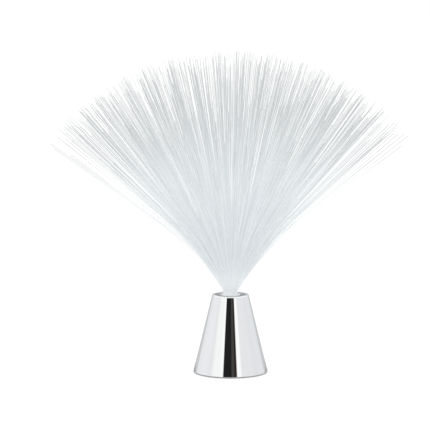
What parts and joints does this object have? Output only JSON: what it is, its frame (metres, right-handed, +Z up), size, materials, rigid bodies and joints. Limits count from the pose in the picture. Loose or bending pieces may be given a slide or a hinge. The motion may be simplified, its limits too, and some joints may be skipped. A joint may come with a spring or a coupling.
{
  "type": "fiber optic lamp",
  "caption": "Battery lamp with a flared spray of clear optical fibres plugged into a mirror-bright conical base with a switch and a hinged battery door underneath.",
  "frame": {"origin": "on the surface the lamp stands on, under the middle of the conical base", "axes": "+Z up along the axis of the base and the spray, -Y towards the front where the switch is, +X to the right seen from the front"},
  "size_m": [0.3819, 0.3838, 0.3268],
  "materials": {
    "chrome_shell": "mirror-bright plated plastic",
    "base_plastic": "fine moulded grain",
    "knob_plastic": "moulded, ribbed",
    "foot_rubber": "matte rubber",
    "door_foam": "closed-cell foam",
    "cell_wrap": "plain shrink wrap with bare ends",
    "contact_metal": "nickel-plated spring steel",
    "screw_steel": "zinc-plated steel",
    "switch_metal": "tinned steel can",
    "board_laminate": "green laminate",
    "led_lens": "water-clear moulded resin",
    "chip_resin": "black resin",
    "resistor_ceramic": "ceramic with tinned ends",
    "socket_plastic": "white moulded plastic",
    "sleeve_plastic": "translucent white plastic",
    "fiber_resin": "polished clear resin",
    "fiber_plastic": "clear drawn acrylic fibre, white in bulk",
    "red_insulation": "soft insulation",
    "black_insulation": "soft insulation"
  },
  "bodies": {
    "base": {"chrome_shell": "chrome_shell", "bottom_plate": "base_plastic", "rubber_feet": "foot_rubber", "battery_cells": "cell_wrap", "positive_contact": "contact_metal", "negative_contact": "contact_metal", "link_contacts": "contact_metal", "door_hinge_pin": "screw_steel", "plate_screws": "screw_steel", "board_screws": "screw_steel", "switch_housing": "switch_metal", "switch_terminals": "contact_metal", "led_board": "board_laminate", "rgb_led": "led_lens", "led_leads": "contact_metal", "driver_chip": "chip_resin", "chip_resistors": "resistor_ceramic", "light_socket": "socket_plastic", "battery_wire_red": "red_insulation", "switch_wire_red": "red_insulation", "battery_wire_black": "black_insulation"},
    "battery_door": {"battery_door": "base_plastic", "door_foam_pad": "door_foam", "door_grip_pad": "foot_rubber"},
    "switch_knob": {"switch_knob": "knob_plastic"},
    "fiber_bundle": {"fiber_sleeve": "sleeve_plastic", "fiber_end_disc": "fiber_resin", "optical_fibers": "fiber_plastic"}
  },
  "joints": [
    {"name": "door_hinge", "type": "hinge", "parent": "base", "child": "battery_door", "pos_m": [0, 0.0198, 0.0026], "axis": [1, 0, 0], "range_deg": [0, 75]},
    {"name": "switch_slide", "type": "slide", "parent": "base", "child": "switch_knob", "axis": [1, 0, 0], "range_m": [0, 0.003]},
    {"name": "bundle_lift", "type": "slide", "parent": "base", "child": "fiber_bundle", "axis": [0, 0, 1], "range_m": [0, 0.06]}
  ]
}
